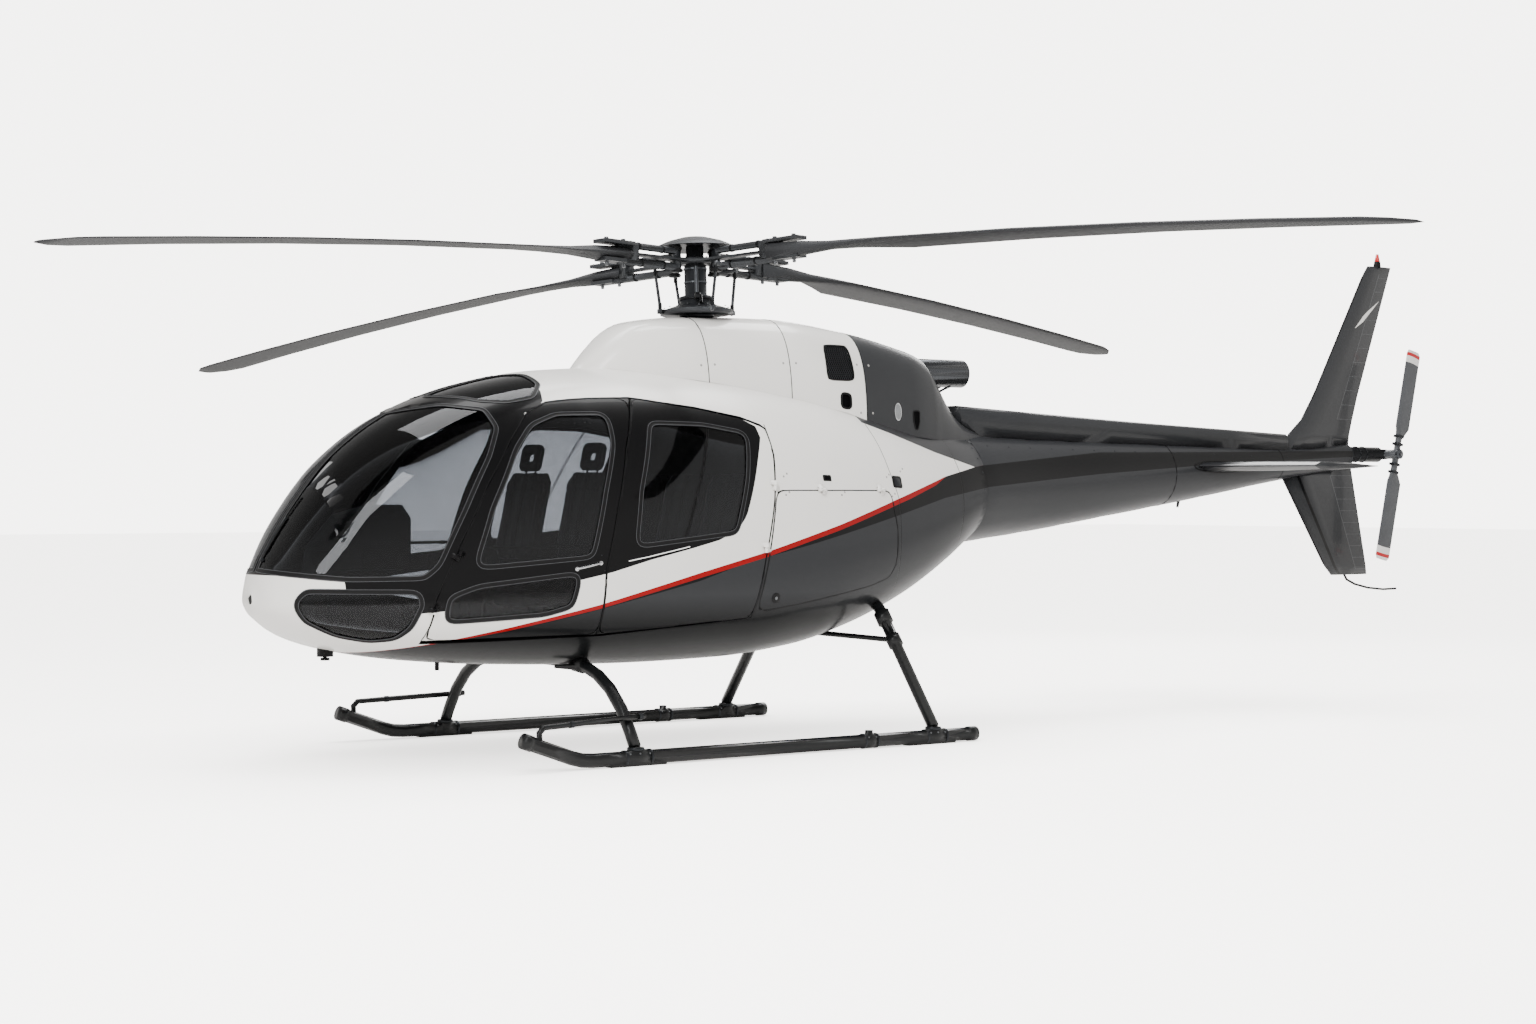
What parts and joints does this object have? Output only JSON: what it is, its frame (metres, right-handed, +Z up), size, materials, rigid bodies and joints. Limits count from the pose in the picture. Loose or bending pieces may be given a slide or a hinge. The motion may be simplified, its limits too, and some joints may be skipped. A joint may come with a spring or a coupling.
{
  "type": "helicopter",
  "caption": "Light turbine helicopter on skids with a glazed cabin, side doors that open, a turning main rotor and a turning tail rotor.",
  "frame": {"origin": "on the ground under the middle of the overall box", "axes": "+X aft along the boom, +Y to starboard, +Z up"},
  "size_m": [12.1203, 10.0075, 3.64],
  "materials": {
    "white_paint": "gloss warm white enamel",
    "grey_paint": "gloss dark grey enamel",
    "black_paint": "gloss black enamel",
    "tinted_glass": "clear acrylic, lightly tinted",
    "rotor_grey": "satin grey blade paint",
    "steel": "heat-stained bare steel",
    "dark_steel": "satin dark grey over metal",
    "skid_black": "satin black tube",
    "seat_leather": "black leather over foam",
    "trim_grey": "textured dark grey trim",
    "red_lens": "red transparent lens"
  },
  "bodies": {
    "airframe": {"aft_bulkhead": "trim_grey", "belly_structure": "grey_paint", "cabin_floor": "trim_grey", "canopy_frame": "black_paint", "chin_window_port": "tinted_glass", "chin_window_starboard": "tinted_glass", "cowl_exhaust": "grey_paint", "cowl_front": "white_paint", "cowl_middle": "white_paint", "cowl_rear": "white_paint", "cross_tube_front": "skid_black", "cross_tube_rear": "skid_black", "engine_block": "dark_steel", "exhaust_pipe": "steel", "instrument_console": "trim_grey", "lower_fin": "grey_paint", "main_gearbox": "dark_steel", "mast_housing": "dark_steel", "rear_bench": "seat_leather", "rear_fuselage": "white_paint", "roof_window_port": "tinted_glass", "roof_window_starboard": "tinted_glass", "seat_front_port": "seat_leather", "seat_front_starboard": "seat_leather", "skid_port": "skid_black", "skid_starboard": "skid_black", "spine_fairing": "grey_paint", "stabiliser_port": "grey_paint", "stabiliser_starboard": "grey_paint", "tail_beacon": "red_lens", "tail_boom": "grey_paint", "tail_bumper": "dark_steel", "tail_gearbox": "dark_steel", "upper_fin": "grey_paint", "windscreen_port": "tinted_glass", "windscreen_starboard": "tinted_glass"},
    "door_front_port_body": {"door_front_port": "black_paint", "door_front_port_lower_pane": "tinted_glass", "door_front_port_upper_pane": "tinted_glass"},
    "door_front_starboard_body": {"door_front_starboard": "black_paint", "door_front_starboard_lower_pane": "tinted_glass", "door_front_starboard_upper_pane": "tinted_glass"},
    "door_rear_port_body": {"door_rear_port": "black_paint", "door_rear_port_pane": "tinted_glass"},
    "door_rear_starboard_body": {"door_rear_starboard": "black_paint", "door_rear_starboard_pane": "tinted_glass"},
    "baggage_door_port_body": {"baggage_door_port": "white_paint"},
    "baggage_door_starboard_body": {"baggage_door_starboard": "white_paint"},
    "main_rotor_body": {"rotor_blade_1": "rotor_grey", "rotor_blade_2": "rotor_grey", "rotor_blade_3": "rotor_grey", "rotor_blade_4": "rotor_grey", "rotor_head": "dark_steel"},
    "tail_rotor_body": {"tail_rotor": "rotor_grey"}
  },
  "joints": [
    {"name": "door_front_port_hinge", "type": "hinge", "parent": "airframe", "child": "door_front_port_body", "pos_m": [-3.434, -0.76648, 0.96], "axis": [-0.3996, 0.0775, -0.9134], "range_deg": [0, 75]},
    {"name": "door_front_starboard_hinge", "type": "hinge", "parent": "airframe", "child": "door_front_starboard_body", "pos_m": [-3.434, 0.76648, 0.96], "axis": [0.3996, 0.0775, 0.9134], "range_deg": [0, 75]},
    {"name": "door_rear_port_hinge", "type": "hinge", "parent": "airframe", "child": "door_rear_port_body", "pos_m": [-1.135, -0.93952, 1.3], "axis": [0.2477, 0.1164, 0.9618], "range_deg": [0, 75]},
    {"name": "door_rear_starboard_hinge", "type": "hinge", "parent": "airframe", "child": "door_rear_starboard_body", "pos_m": [-1.135, 0.93952, 1.3], "axis": [-0.2477, 0.1164, -0.9618], "range_deg": [0, 75]},
    {"name": "baggage_door_port_hinge", "type": "hinge", "parent": "airframe", "child": "baggage_door_port_body", "pos_m": [-0.63, -0.86638, 1.675], "axis": [-0.988, -0.1543, 0], "range_deg": [0, 80]},
    {"name": "baggage_door_starboard_hinge", "type": "hinge", "parent": "airframe", "child": "baggage_door_starboard_body", "pos_m": [-0.63, 0.86638, 1.675], "axis": [0.988, -0.1543, 0], "range_deg": [0, 80]},
    {"name": "main_rotor_spin", "type": "hinge", "parent": "airframe", "child": "main_rotor_body", "pos_m": [-1.05, 0, 3.21], "axis": [0, 0.0506, 0.9987], "continuous": true},
    {"name": "tail_rotor_spin", "type": "hinge", "parent": "airframe", "child": "tail_rotor_body", "pos_m": [5.75, -0.25, 1.975], "axis": [0, -1, 0], "continuous": true}
  ]
}
